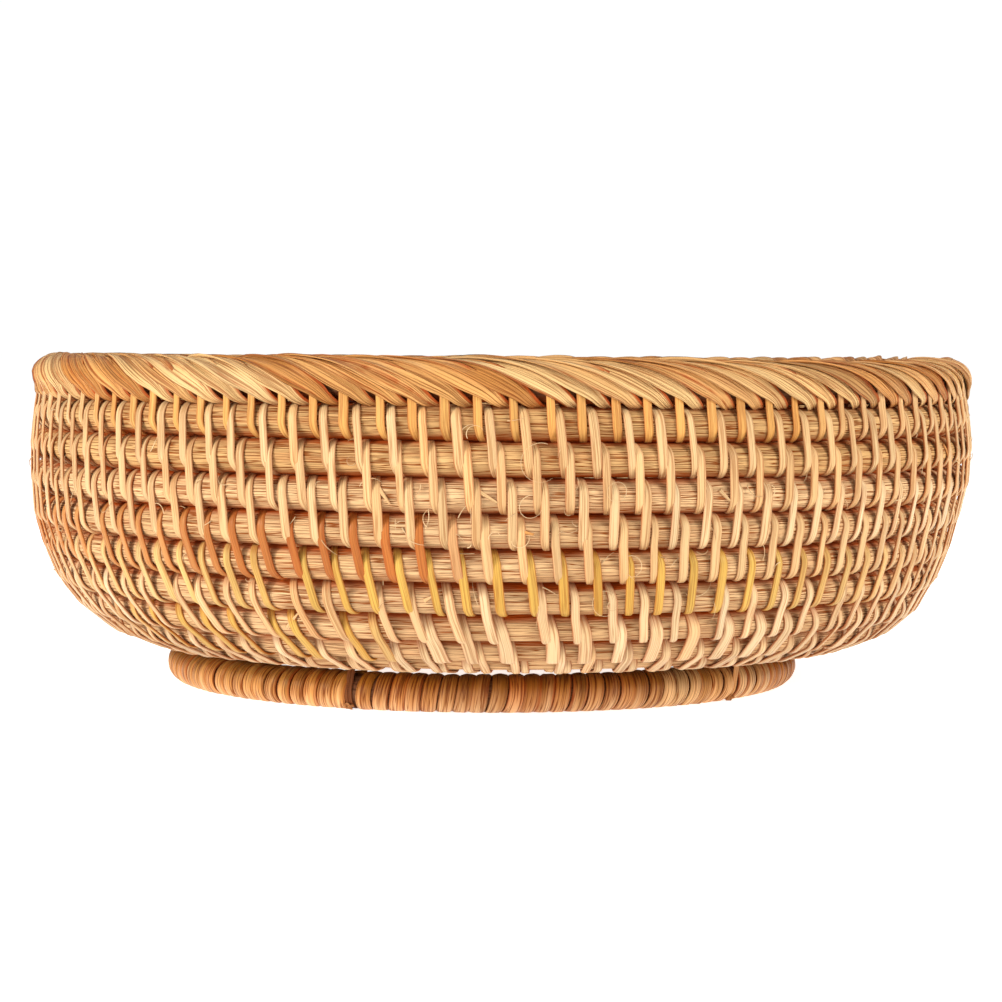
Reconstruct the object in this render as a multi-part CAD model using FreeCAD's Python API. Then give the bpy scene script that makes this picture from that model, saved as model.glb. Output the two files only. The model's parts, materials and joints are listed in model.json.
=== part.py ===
"""Coiled winnowing basket: a round bowl of stacked cane rods, stitched with splints.

Millimetres, +Z up.  The origin lies on the floor under the axis of the bowl.
Every rod of the bowl is a level ring, and a layer of splint stitches ties each rod to
the next one down.  The rim rod carries a cover of slanting strips, and a bound foot
ring is lashed under the base.
"""
import FreeCAD, Part

import math
import os
from FreeCAD import Vector

# ---- overall shape, to the outside of the stitches ----
OUTER_DIAMETER = 240.0        # at the widest level of the wall
TOTAL_HEIGHT = 82.7           # floor to the top of the rim
WALL_ARC_RADIUS = 70.0        # upright curve of the wall
WALL_ARC_END = 27.0           # degrees below level where the wall turns into the corner
CORNER_RADIUS = 31.0          # curve from the wall into the base

# ---- rods and splints ----
ROD_DIAMETER = 6.85
START_ROD_DIAMETER = 4.8      # thinned end that the coil begins with
START_RING_DIAMETER = 9.2     # centre line of the first tight turn
SPLINT_WIDTH = 2.1
START_SPLINT_WIDTH = 1.2      # narrower splints round the first turn
SPLINT_THICKNESS = 0.45
SPLINT_PLAY = 0.05            # between a splint and what it wraps or passes
WALL_STITCH_PITCH = 7.25      # along the rods of the wall
BASE_STITCH_PITCH = 8.5       # along the rods of the corner and base
START_STITCHES = 6
STITCH_SHIFT = 1.0 / 3.0      # of a pitch, from one layer to the next
FIRST_STITCH_ANGLE = -88.95   # degrees round Z, just right of the front
STITCH_CLEARANCE = 0.3        # least space between two stitches on one rod
PLACE_STEPS = 40              # places tried each way to keep a stitch clear of its neighbours

# ---- rim ----
RIM_INSET = 0.3               # of the rim cover, inside the widest level of the wall
RIM_ROD_DIAMETER = 7.6
RIM_STRIP_THICKNESS = 0.75
RIM_STRIP_WIDTH = 3.2
RIM_STRIP_LEAN = 30.0         # degrees between a strip and the level
RIM_STRIP_DROP = 5.1          # from the rim rod's centre down to the strips' ends

# ---- foot ring ----
FOOT_INSET = 8.1              # foot centre line inside the edge of the flat base
FOOT_TUBE_DIAMETER = 9.0      # over the binding
FOOT_BINDING_THICKNESS = 0.6
FOOT_BINDING_PLAY = 0.05
FOOT_GAP = 1.8                # between the foot ring and the underside of the base
FOOT_OFFSET = -4.7            # the foot ring sits off the bowl's axis along X
FOOT_WEAR = 0.12              # depth of the flat worn under the foot ring
TIE_COUNT = 5
TIE_WIDTH = 2.4
TIE_THICKNESS = 0.38
TIE_PLAY = 0.12               # a tie crosses the rods a little askew
TIE_CLEARANCE = 0.6           # between a tie and the splints beside it
FIRST_TIE_ANGLE = -112.6      # degrees round the foot's own axis
KNOT_RADIUS = 1.0
KNOT_SINK = 0.3               # how far the knot bites into the tie
KNOT_ANGLE = -38.0            # degrees below level, on the outside of the tie

# ---- worked out from the sizes above ----
ROD = ROD_DIAMETER / 2
START_ROD = START_ROD_DIAMETER / 2
RIM_ROD = RIM_ROD_DIAMETER / 2
FOOT_TUBE = FOOT_TUBE_DIAMETER / 2
FOOT_CORE = FOOT_TUBE - FOOT_BINDING_THICKNESS - FOOT_BINDING_PLAY
WRAP = SPLINT_PLAY + SPLINT_THICKNESS                 # what a stitch adds round a rod
ROD_GAP = 2 * SPLINT_THICKNESS + 3 * SPLINT_PLAY      # room for one splint on each rod
SKIN = ROD + WRAP                                     # rod centre to the outside of the stitches
RIM_COVER = RIM_ROD + WRAP + SPLINT_PLAY              # rim rod centre to the strips' inner face
RIM_OUTSIDE = RIM_COVER + RIM_STRIP_THICKNESS

FOOT_Z = FOOT_TUBE - FOOT_WEAR
BASE_Z = FOOT_Z + FOOT_TUBE + FOOT_GAP                # underside of the base stitches
CORNER_Z = BASE_Z + CORNER_RADIUS
WALL_TURN = math.radians(WALL_ARC_END)
WALL_ARC_R = OUTER_DIAMETER / 2 - WALL_ARC_RADIUS     # centre of the wall's arc
CORNER_R = WALL_ARC_R + (WALL_ARC_RADIUS - CORNER_RADIUS) * math.cos(WALL_TURN)
WALL_ARC_Z = CORNER_Z + (WALL_ARC_RADIUS - CORNER_RADIUS) * math.sin(WALL_TURN)
FOOT_R = CORNER_R - FOOT_INSET

RIM_R = OUTER_DIAMETER / 2 - RIM_INSET - RIM_OUTSIDE
RIM_Z = TOTAL_HEIGHT - RIM_OUTSIDE
FIRST_ROW_Z = RIM_Z - RIM_ROD - RIM_STRIP_THICKNESS - ROD_GAP - ROD
START_R = START_RING_DIAMETER / 2
LAST_ROW_R = START_R + START_ROD + ROD_GAP + ROD


# ---- shapes shared by several pieces ----
def circle_face(r, z, radius):
    """Disc in the XZ half-plane, centred at distance r from the axis and height z."""
    edge = Part.makeCircle(radius, Vector(r, 0, z), Vector(0, 1, 0))
    return Part.Face(Part.Wire([edge]))


def ring(r, z, radius):
    """Full ring of round section about Z."""
    return Part.makeTorus(r, radius, Vector(0, 0, z), Vector(0, 0, 1))


def belt_wire(a, radius_a, b, radius_b):
    """Outline of a belt round two discs at a and b, each an (r, z) pair in the XZ plane."""
    along = Vector(b[0] - a[0], 0, b[1] - a[1])
    span = along.Length
    heading = math.atan2(along.z, along.x)
    open_angle = math.acos((radius_a - radius_b) / span)

    def point(centre, radius, angle):
        return Vector(centre[0] + radius * math.cos(angle), 0, centre[1] + radius * math.sin(angle))

    left, right = heading + open_angle, heading - open_angle
    far_b, far_a = heading, heading + math.pi
    arc_b = Part.Arc(point(b, radius_b, right), point(b, radius_b, far_b), point(b, radius_b, left))
    arc_a = Part.Arc(point(a, radius_a, left), point(a, radius_a, far_a), point(a, radius_a, right))
    side_1 = Part.LineSegment(point(b, radius_b, left), point(a, radius_a, left))
    side_2 = Part.LineSegment(point(a, radius_a, right), point(b, radius_b, right))
    return Part.Wire([arc_b.toShape(), side_1.toShape(), arc_a.toShape(), side_2.toShape()])


def belt_face(a, radius_a, b, radius_b, play, thickness):
    """Closed strap section round two discs, held off them by the play."""
    outer = Part.Face(belt_wire(a, radius_a + play + thickness, b, radius_b + play + thickness))
    inner = Part.Face(belt_wire(a, radius_a + play, b, radius_b + play))
    return outer.cut(inner)


def extruded_strap(face, width):
    """The strap section given its width, centred on the XZ plane."""
    moved = face.copy()
    moved.translate(Vector(0, -width / 2, 0))
    return moved.extrude(Vector(0, width, 0))


def turned(shape, angle, centre_x=0.0):
    """A copy turned about a vertical axis through (centre_x, 0), in degrees."""
    copy = shape.copy()
    copy.rotate(Vector(0, 0, 0), Vector(0, 0, 1), angle)
    copy.translate(Vector(centre_x, 0, 0))
    return copy


# ---- where the rods lie ----
def wall_arc_length(start_angle):
    return (WALL_ARC_RADIUS - SKIN) * (WALL_TURN - start_angle)


def path_point(distance, start_angle):
    """Rod centre (r, z) at a distance along the bowl's section, from the first row inward."""
    wall = wall_arc_length(start_angle)
    corner = (CORNER_RADIUS - SKIN) * (math.pi / 2 - WALL_TURN)
    if distance <= wall:
        radius = WALL_ARC_RADIUS - SKIN
        angle = start_angle + distance / radius
        return (WALL_ARC_R + radius * math.cos(angle), WALL_ARC_Z - radius * math.sin(angle))
    if distance <= wall + corner:
        radius = CORNER_RADIUS - SKIN
        angle = WALL_TURN + (distance - wall) / radius
        return (CORNER_R + radius * math.cos(angle), CORNER_Z - radius * math.sin(angle))
    return (CORNER_R - (distance - wall - corner), BASE_Z + SKIN)


def row_centres():
    """Centres of the rods from the first row under the rim to the last one in the base."""
    start_angle = math.asin((WALL_ARC_Z - FIRST_ROW_Z) / (WALL_ARC_RADIUS - SKIN))
    corner = (CORNER_RADIUS - SKIN) * (math.pi / 2 - WALL_TURN)
    length = wall_arc_length(start_angle) + corner + CORNER_R - LAST_ROW_R
    steps = int(length / (ROD_DIAMETER + ROD_GAP))
    return [path_point(length * i / steps, start_angle) for i in range(steps + 1)]


# ---- where the stitches and ties lie ----
def tie_angles():
    return [FIRST_TIE_ANGLE + i * 360.0 / TIE_COUNT for i in range(TIE_COUNT)]


def base_crossing(angle, row_r):
    """Distance from the foot's axis at which the ray at this angle crosses a base rod."""
    turn = math.radians(angle)
    across = FOOT_OFFSET * math.sin(turn)
    return -FOOT_OFFSET * math.cos(turn) + math.sqrt(row_r ** 2 - across ** 2)


def tie_row(angle, rows):
    """Number of the flat base row that lies nearest above the foot ring at this angle."""
    flat = [i for i, (r, z) in enumerate(rows) if z < BASE_Z + SKIN + SPLINT_PLAY]
    return min(flat, key=lambda i: abs(base_crossing(angle, rows[i][0]) - FOOT_R))


def tie_places(rows):
    """For each tie its angle, the row it holds, and its direction seen from the bowl's axis."""
    places = []
    for angle in tie_angles():
        row = tie_row(angle, rows)
        reach = base_crossing(angle, rows[row][0])
        x = FOOT_OFFSET + reach * math.cos(math.radians(angle))
        y = reach * math.sin(math.radians(angle))
        places.append((angle, row, math.degrees(math.atan2(y, x))))
    return places


def is_clear(angle, taken, radius, space):
    """True if a stitch at this angle keeps its space from everything already placed."""
    for other in taken:
        apart = abs((angle - other + 180.0) % 360.0 - 180.0)
        if math.radians(apart) * radius < space:
            return False
    return True


def clear_angle(ideal, pitch, above, ties, placed, radius):
    """Nearest clear angle to the ideal one, or None where a tie leaves no room."""
    space = SPLINT_WIDTH + STITCH_CLEARANCE
    tie_space = (SPLINT_WIDTH + TIE_WIDTH) / 2 + TIE_CLEARANCE
    for step in range(PLACE_STEPS):
        for side in (1, -1):
            angle = ideal + side * step * pitch / (2 * PLACE_STEPS)
            if is_clear(angle, above + placed, radius, space) and is_clear(angle, ties, radius, tie_space):
                return angle
    return None


def stitch_angles(rows):
    """Angles of the stitches of every layer, from the rim inward."""
    centres = [(RIM_R, RIM_Z)] + rows
    ties = tie_places(rows)
    layers, above, first = [], [], FIRST_STITCH_ANGLE
    for layer in range(len(rows)):
        radius = (centres[layer][0] + centres[layer + 1][0]) / 2
        lower_z = centres[layer + 1][1]
        on_wall = lower_z > CORNER_Z - (CORNER_RADIUS - SKIN) * math.sin(WALL_TURN)
        count = round(2 * math.pi * radius / (WALL_STITCH_PITCH if on_wall else BASE_STITCH_PITCH))
        pitch = 360.0 / count
        near_ties = [at for _, row, at in ties if abs(row + 1 - layer - 0.5) < 2]
        placed = []
        for i in range(count):
            angle = clear_angle(first + i * pitch, pitch, above, near_ties, placed, centres[layer][0])
            if angle is not None:
                placed.append(angle)
        layers.append(placed)
        above = placed
        first += STITCH_SHIFT * pitch
    return layers


# ---- the pieces ----
def coil_rows(rows):
    return {f"coil_row_{i + 1:02d}": ring(r, z, ROD) for i, (r, z) in enumerate(rows)}


def base_start():
    """First tight turn of the coil, at the middle of the base."""
    return ring(START_R, BASE_Z + SKIN, START_ROD)


def stitch_layer(a, radius_a, b, radius_b, width, angles):
    """Loops round the rods a and b; across its width a flat splint stands off the curve of b."""
    play = SPLINT_PLAY + width ** 2 / (8 * (b[0] - radius_b))
    strap = extruded_strap(belt_face(a, radius_a, b, radius_b, play, SPLINT_THICKNESS), width)
    return Part.makeCompound([turned(strap, angle) for angle in angles])


def stitch_layers(rows):
    """One node per layer: each stitch is a closed loop round two neighbouring rods."""
    nodes = {}
    centres = [(RIM_R, RIM_Z)] + rows
    for layer, angles in enumerate(stitch_angles(rows)):
        upper_rod = RIM_ROD if layer == 0 else ROD
        nodes[f"stitches_row_{layer:02d}"] = stitch_layer(
            centres[layer], upper_rod, centres[layer + 1], ROD, SPLINT_WIDTH, angles)
    return nodes


def start_stitches(rows):
    """Stitches from the last row to the first tight turn, clear of the layer outside them."""
    outside = stitch_angles(rows)[-1]
    slot = 360.0 / START_STITCHES
    width = (SPLINT_WIDTH + START_SPLINT_WIDTH) / 2 + STITCH_CLEARANCE
    angles = []
    for i in range(START_STITCHES):
        ideal = outside[0] + (i + 0.5) * slot
        tries = sorted(range(-PLACE_STEPS, PLACE_STEPS + 1), key=abs)
        places = [ideal + n * slot / (4 * PLACE_STEPS) for n in tries]
        clear = [a for a in places if is_clear(a, outside, rows[-1][0], width)]
        angles.append((clear or [ideal])[0])
    return stitch_layer(
        rows[-1], ROD, (START_R, BASE_Z + SKIN), START_ROD, START_SPLINT_WIDTH, angles)


def rim_strip(first_row):
    """One strip of the rim cover: a slanting slice of the arch over the rim and its stitches."""
    rim = (RIM_R, RIM_Z)
    cover = belt_face(rim, RIM_ROD + WRAP, first_row, SKIN, SPLINT_PLAY, RIM_STRIP_THICKNESS)
    reach = 2 * RIM_OUTSIDE
    below = Part.makeBox(4 * reach, 2, 4 * reach,
                         Vector(RIM_R - 2 * reach, -1, RIM_Z - RIM_STRIP_DROP - 4 * reach))
    arch = cover.cut(below)
    half_turn = math.degrees(2 * reach / RIM_R)
    arch.rotate(Vector(0, 0, 0), Vector(0, 0, 1), -half_turn)
    shell = arch.revolve(Vector(0, 0, 0), Vector(0, 0, 1), 2 * half_turn)
    slab = Part.makeBox(4 * reach, 8 * reach, RIM_STRIP_WIDTH,
                        Vector(RIM_R - 2 * reach, -4 * reach, -RIM_STRIP_WIDTH / 2))
    slab.rotate(Vector(RIM_R, 0, 0), Vector(1, 0, 0), -RIM_STRIP_LEAN)
    slab.translate(Vector(0, 0, RIM_Z))
    return shell.common(slab).Solids[0]


def rim_strips(rows):
    """The rim cover, with one strip to each stitch of the first layer."""
    strip = rim_strip(rows[0])
    return Part.makeCompound([turned(strip, angle) for angle in stitch_angles(rows)[0]])


def foot_core():
    core = ring(FOOT_R, FOOT_Z, FOOT_CORE)
    core.translate(Vector(FOOT_OFFSET, 0, 0))
    return core


def foot_binding():
    """The strip wound round the foot core: one run between each two ties, worn flat below."""
    section = circle_face(FOOT_R, FOOT_Z, FOOT_TUBE).cut(
        circle_face(FOOT_R, FOOT_Z, FOOT_CORE + FOOT_BINDING_PLAY))
    half_slot = math.degrees((TIE_WIDTH / 2 + TIE_CLEARANCE) / (FOOT_R - FOOT_TUBE))
    run_angle = 360.0 / TIE_COUNT - 2 * half_slot
    run = section.revolve(Vector(0, 0, 0), Vector(0, 0, 1), run_angle)
    wide = 4 * (FOOT_R + FOOT_TUBE)
    floor = Part.makeBox(wide, wide, FOOT_TUBE, Vector(-wide / 2, -wide / 2, -FOOT_TUBE))
    worn = run.cut(floor).Solids[0]
    return Part.makeCompound([turned(worn, angle + half_slot, FOOT_OFFSET) for angle in tie_angles()])


def foot_tie(angle, row_r):
    """A splint lashed round the foot core and the base rod above it, with its knot."""
    foot = (FOOT_R, FOOT_Z)
    rod = (base_crossing(angle, row_r), BASE_Z + SKIN)
    band = extruded_strap(belt_face(foot, FOOT_CORE, rod, ROD, TIE_PLAY, TIE_THICKNESS), TIE_WIDTH)
    turn = math.radians(KNOT_ANGLE)
    reach = FOOT_CORE + TIE_PLAY + TIE_THICKNESS - KNOT_SINK + KNOT_RADIUS
    knot = Part.makeSphere(KNOT_RADIUS, Vector(FOOT_R + reach * math.cos(turn), 0,
                                               FOOT_Z + reach * math.sin(turn)))
    return turned(band.fuse(knot), angle, FOOT_OFFSET)


def foot_ties(rows):
    ties = [foot_tie(angle, rows[row][0]) for angle, row, _ in tie_places(rows)]
    return Part.makeCompound(ties)


def basket():
    rows = row_centres()
    nodes = {"rim_core": ring(RIM_R, RIM_Z, RIM_ROD), "rim_strips": rim_strips(rows)}
    nodes.update(coil_rows(rows))
    nodes.update(stitch_layers(rows))
    nodes["base_start"] = base_start()
    nodes["stitches_start"] = start_stitches(rows)
    nodes["foot_core"] = foot_core()
    nodes["foot_binding"] = foot_binding()
    nodes["foot_ties"] = foot_ties(rows)
    return nodes


def main():
    os.makedirs("parts", exist_ok=True)
    for name, shape in basket().items():
        shape.exportStep(f"parts/{name}.step")
        print(f"{name}: {len(shape.Solids)} solids, {shape.Volume:.1f} mm3")


main()
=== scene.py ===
"""Looks of the coiled cane basket: rods, splints, rim strips and the bound foot ring.

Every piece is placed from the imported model.  Sizes are metres; MM turns millimetres into them.
The front of the basket faces -Y, and angles round it are counted from the front to the right.
"""
import json
import math

import bpy
import numpy as np
from mathutils import Euler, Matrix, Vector


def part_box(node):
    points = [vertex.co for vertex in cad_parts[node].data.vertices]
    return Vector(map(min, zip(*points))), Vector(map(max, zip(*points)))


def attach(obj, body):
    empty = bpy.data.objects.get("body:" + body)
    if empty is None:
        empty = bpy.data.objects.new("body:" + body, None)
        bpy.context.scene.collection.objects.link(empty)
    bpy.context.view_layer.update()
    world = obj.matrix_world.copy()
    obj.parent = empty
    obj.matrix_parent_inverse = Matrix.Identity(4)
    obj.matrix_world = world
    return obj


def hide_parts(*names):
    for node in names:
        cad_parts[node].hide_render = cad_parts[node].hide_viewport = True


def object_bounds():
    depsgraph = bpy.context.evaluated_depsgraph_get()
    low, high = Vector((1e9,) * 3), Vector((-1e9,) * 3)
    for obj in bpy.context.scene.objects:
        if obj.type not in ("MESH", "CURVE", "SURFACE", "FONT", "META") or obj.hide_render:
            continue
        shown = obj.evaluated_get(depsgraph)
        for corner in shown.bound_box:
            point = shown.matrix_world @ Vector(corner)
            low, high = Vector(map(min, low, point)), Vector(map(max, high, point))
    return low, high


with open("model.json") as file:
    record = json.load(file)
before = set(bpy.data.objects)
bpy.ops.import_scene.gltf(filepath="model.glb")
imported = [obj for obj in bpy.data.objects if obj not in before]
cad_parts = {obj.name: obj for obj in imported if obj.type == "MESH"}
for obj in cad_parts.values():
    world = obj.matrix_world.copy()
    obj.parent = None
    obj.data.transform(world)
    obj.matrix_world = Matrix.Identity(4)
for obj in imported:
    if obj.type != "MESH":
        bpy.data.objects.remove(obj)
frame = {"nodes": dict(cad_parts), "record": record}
CAD_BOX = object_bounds()
MM = 0.001
TURN = 2 * math.pi

# ---- how the cane lies, in millimetres where a length ----
SPLINT_WIDE = 2.12
START_SPLINT_WIDE = 1.3       # round the first turn of the coil
BROAD_LAYER = 7
SPLINT_THICK = 0.6
SPLINT_CLEAR = 0.02           # between a splint and the rod it wraps
LAYER_HOOK = (-0.7, -0.7, -0.6, -0.5)             # where a stitch comes up, along the rod
LAYER_LEAN = (1.0, 2.0, 1.6, 2.2, 2.5, 2.3, 2.4)  # how far it drifts down its face
INNER_HOOK, INNER_LEAN = -0.4, 2.0                # the same for the layers further in
FOOT_LEAN = 0.8               # extra drift as it turns under the lower rod
SPLINT_BOW = 0.4              # a stitch stands off the rods half way down its face
OVERLAP_LIFT = 0.22           # a stitch rides over the end of the one sewn before it
SPACING_DRIFT = 0.55          # slow unevenness of the sewing, the same in every layer
STITCH_SCATTER = 0.2          # and from one stitch to the next
LEAN_SCATTER, HOOK_SCATTER = 0.28, 0.12
ROD_SWELL = 0.38              # pith bulging out between the stitches
ROD_PRESS = 0.22              # and spreading where it is pressed against the rods beside it
RIM_ROD_PRESS = 0.7           # the rim's rod, down against the first row
FIRST_TURN_SWELL, FIRST_TURN_PRESS = 0.45, 0.6    # the start of the coil, wound tight
ROD_FLATS, ROD_FIBRES, ROD_GROOVES = 0.06, 0.05, 0.13    # how deep each one is
ROD_SWAY = 0.12               # a rod wanders this far off a true ring
ROD_STEP = 1.7                # length of rod between rings of points
ROD_AROUND = 44
RIM_RISE, RIM_DIP = 0.65, 0.6  # the rim is higher at the right of the back, lower right of front
RIM_STRIP_WIDE = 5.8
RIM_STRIP_THICK = 0.5
RIM_STRIP_SHINGLE = 0.45      # how far its lower edge stands out over the next strip
RIM_TIP_DROP = 2.6
RIM_TIP_CURL = 2.5
RIM_TIP_TURN = math.radians(105)
BINDING_PITCH = 3.7
BINDING_THICK = 0.8
BINDING_CLEAR = 0.04
TIE_HALF_GAP = 1.15           # from the middle of a foot tie to the first turn of the winding
TIE_WIDE = 0.95
TIE_THICK = 0.36
TIE_APART = 0.45              # half the distance between the two strands of a tie
TIE_SWAY = 0.25
BASE_LEVEL = 0.2              # rods within this height of the innermost one lie in the flat base
KNOT_SIZE = 0.33
KNOT_STRAND = 0.3
KNOT_DOWN = math.radians(50)  # where a knot sits on the foot ring, below its widest circle
KNOT_OUT = 0.9                # from the face of the foot core to the middle of a knot
BINDING_FLOOR_CLEAR, FLOOR_CLEAR = 0.02, 0.03    # under the winding, and under the ties
FIBRES = 190
FIBRES_IN_FRONT = 34
FIBRES_CURLED = 50            # of these first ones, every fifth is curled
TAILS_BEHIND = 12
TAIL_WIDE, TAIL_THICK = 1.1, 0.3
ON_STITCHES = 0.55            # a loose end lies this far out from the face of a rod

# ---- the camera, in metres and degrees ----
CAMERA_LENS = 101.0
CAMERA_BACK = 0.7308
CAMERA_OVER_RIM = 0.0004
CAMERA_DOWN, CAMERA_ROLL = 2.94, 0.35
LIT_POINT = (0, 0, 0.04)      # every lamp is turned to it
FLOOR_HALF = 60.0
ROOM_LIGHT, ROOM_SEEN = 0.30, 0.72    # what the room gives, and what the camera sees on top of it
FLOOR_GLOW, FLOOR_SEEN = 0.56, 0.20   # the same for the floor

# ---- colours of the cane, linear ----
PALE = (0.69, 0.455, 0.215)
CREAM = (0.75, 0.54, 0.295)
PEACH = (0.70, 0.43, 0.19)
GOLD = (0.67, 0.35, 0.095)
MUSTARD = (0.62, 0.37, 0.075)
STRAW = (0.72, 0.48, 0.17)
TERRACOTTA = (0.45, 0.14, 0.028)
FADED = (0.60, 0.27, 0.08)
PITH = (0.76, 0.49, 0.245)
PITH_WARM = (0.69, 0.415, 0.17)
DARK_CORE = (0.16, 0.065, 0.03)
RIM_TAN = (0.74, 0.40, 0.145)
RIM_PALE = (0.78, 0.50, 0.21)
RIM_ORANGE = (0.66, 0.33, 0.10)
RIM_BROWN = (0.55, 0.24, 0.06)
FOOT_CARAMEL = (0.66, 0.28, 0.05)
FOOT_BROWN = (0.57, 0.20, 0.02)
FOOT_CHESTNUT = (0.50, 0.165, 0.018)
FOOT_LIGHT = (0.80, 0.38, 0.10)
FOOT_STRAW = (0.84, 0.47, 0.18)
# pale tan painted on the underside of the foot winding as light from below
FOOT_UNDERSIDE_LIT = (0.88, 0.62, 0.34)
TIE_BROWN = (0.17, 0.065, 0.022)
BARK = (0.50, 0.17, 0.045)
KNOT_TAN = (0.50, 0.24, 0.09)


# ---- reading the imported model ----
def ring_of(node):
    """A ring's (centre x, radius, height, rod radius)."""
    low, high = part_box(node)
    rod = (high.z - low.z) / 2
    return (low.x + high.x) / 2, (high.x - low.x) / 2 - rod, (low.z + high.z) / 2, rod


def solid_middles(node):
    """Middle point of each separate solid in a node."""
    mesh = frame["nodes"][node].data
    points = np.empty(len(mesh.vertices) * 3)
    mesh.vertices.foreach_get("co", points)
    points = points.reshape(-1, 3)
    _, same = np.unique(np.round(points * 1e6), axis=0, return_inverse=True)
    same = same.reshape(-1)
    edges = np.empty(len(mesh.edges) * 2, int)
    mesh.edges.foreach_get("vertices", edges)
    first, second = same[edges.reshape(-1, 2)].T
    label = np.arange(same.max() + 1)
    while True:
        low = np.minimum(label[first], label[second])
        merged = label.copy()
        np.minimum.at(merged, first, low)
        np.minimum.at(merged, second, low)
        merged = merged[merged]
        if (merged == label).all():
            break
        label = merged
    group = label[same]
    return np.array([points[group == g].mean(0) for g in np.unique(group)])


def solid_angles(node, centre_x=0.0):
    """Sorted angles of a node's solids round a vertical axis, in radians from +X."""
    middles = solid_middles(node)
    return np.sort(np.arctan2(middles[:, 1], middles[:, 0] - centre_x) % TURN)


def from_front(angle):
    """Degrees to the right of the front, from -180 to 180."""
    return (np.degrees(angle) + 90.0 + 180.0) % 360.0 - 180.0


# ---- smooth random fields ----
def wander(rng, shape, cells):
    """Smooth random field from -1 to 1 that closes on itself both ways."""
    cells = [max(1, int(c)) for c in cells]
    knots = rng.uniform(-1, 1, cells)
    for axis in (0, 1):
        at = np.arange(shape[axis]) * cells[axis] / shape[axis]
        low = np.floor(at).astype(int)
        share = at - low
        share = share * share * (3 - 2 * share)
        share = share.reshape((-1, 1) if axis == 0 else (1, -1))
        knots = (np.take(knots, low % cells[axis], axis) * (1 - share)
                 + np.take(knots, (low + 1) % cells[axis], axis) * share)
    return knots


def sewing_drift(angles, radius):
    """Angles moved by the slow unevenness of the sewing."""
    rng = np.random.default_rng(5)
    turns = np.zeros(len(angles))
    for waves in (5, 9, 14, 23, 31):
        turns += rng.normal(0, 1) * np.sin(waves * angles + rng.uniform(0, TURN)) / math.sqrt(waves)
    return angles + turns * SPACING_DRIFT * MM / radius


# ---- meshes made of strips of points ----
def strip_faces(count, along, around, closed):
    """Corner numbers of the quads over equal grids, and the same steps unwrapped for the grain."""
    i, j = np.meshgrid(np.arange(along if closed else along - 1), np.arange(around), indexing="ij")
    steps = np.stack([(i, j), (i, j + 1), (i + 1, j + 1), (i + 1, j)], 0)
    rows, columns = steps[:, 0].reshape(4, -1).T, steps[:, 1].reshape(4, -1).T
    quad = (rows % along) * around + columns % around
    start = np.arange(count)[:, None, None] * along * around
    return (quad[None] + start).reshape(-1, 4), rows, columns


def settled(points):
    """Points moved as the bowl has settled: its wall has crept left and its rim rises and dips."""
    height = points[..., 2:] / MM
    around = from_front(np.arctan2(points[..., 1:2], points[..., :1]))
    creep = np.interp(height, [14, 18, 25, 42, 52, 62], [0, -0.2, -1.1, -1.2, -0.3, 0])
    rise = RIM_RISE * np.exp(-((around - 112) / 18) ** 2) - RIM_DIP * np.exp(-((around - 36) / 26) ** 2)
    rise = rise * np.clip((height - 52) / 18, 0, 1)
    return points + np.concatenate([creep, np.zeros_like(creep), rise], -1) * MM


def cane_mesh(name, strips, closed, grain, tone, grime_and_shade):
    """A piece from strips (count, along, around, 3), with its grain, tone, and its soiling and painted
    shade.

    grain holds the distance along and across at each step, one longer than the strip each way.
    """
    count, along, around, _ = strips.shape
    strips = settled(strips)
    faces, rows, columns = strip_faces(count, along, around, closed)
    loops = faces.reshape(-1)
    starts = np.arange(len(faces)) * 4
    if not closed:
        base = np.arange(count)[:, None] * along * around
        first = base + np.arange(around)[::-1]
        last = base + (along - 1) * around + np.arange(around)
        caps = np.stack([first, last], 1).reshape(-1)
        starts = np.concatenate([starts, len(loops) + np.arange(2 * count) * around])
        loops = np.concatenate([loops, caps])
    mesh = bpy.data.meshes.new(name)
    mesh.vertices.add(count * along * around)
    mesh.vertices.foreach_set("co", strips.reshape(-1))
    mesh.loops.add(len(loops))
    mesh.loops.foreach_set("vertex_index", loops)
    mesh.polygons.add(len(starts))
    mesh.polygons.foreach_set("loop_start", starts)
    mesh.update(calc_edges=True)
    mesh.polygons.foreach_set("use_smooth", np.ones(len(starts), bool))
    distance, across = grain
    uv = np.zeros((len(loops), 2))
    quads = count * len(rows) * 4
    uv[:quads, 0] = np.tile(distance[rows].reshape(-1), count)
    uv[:quads, 1] = np.tile(across[columns].reshape(-1), count)
    uv[:quads] += np.repeat(np.arange(count), len(rows) * 4)[:, None] * 0.0137
    mesh.uv_layers.new(name="grain").data.foreach_set("uv", uv.reshape(-1))
    colour = np.ones((count, along, around, 4))
    colour[..., :3] = tone
    mesh.attributes.new("tone", "FLOAT_COLOR", "POINT").data.foreach_set("color", colour.reshape(-1))
    dirt_and_shade = np.broadcast_to(grime_and_shade, (count, along, around)).astype(float)
    mesh.attributes.new("grime_and_shade", "FLOAT", "POINT").data.foreach_set("value", dirt_and_shade.reshape(-1))
    return mesh


def piece(name, mesh, material, nodes):
    """Show a mesh as one piece of the basket in place of CAD nodes."""
    obj = bpy.data.objects.new(name, mesh)
    bpy.context.scene.collection.objects.link(obj)
    mesh.materials.append(material)
    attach(obj, "root")
    if nodes:
        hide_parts(*nodes)
    return obj


def unit(vectors):
    """The same vectors at length 1."""
    return vectors / np.linalg.norm(vectors, axis=-1, keepdims=True)


def ring_points(r, z, turn, centre_x=0.0):
    """Points at radius r and height z, turned round a vertical axis."""
    return np.stack(np.broadcast_arrays(centre_x + r * np.cos(turn), r * np.sin(turn), z), -1)


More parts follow.
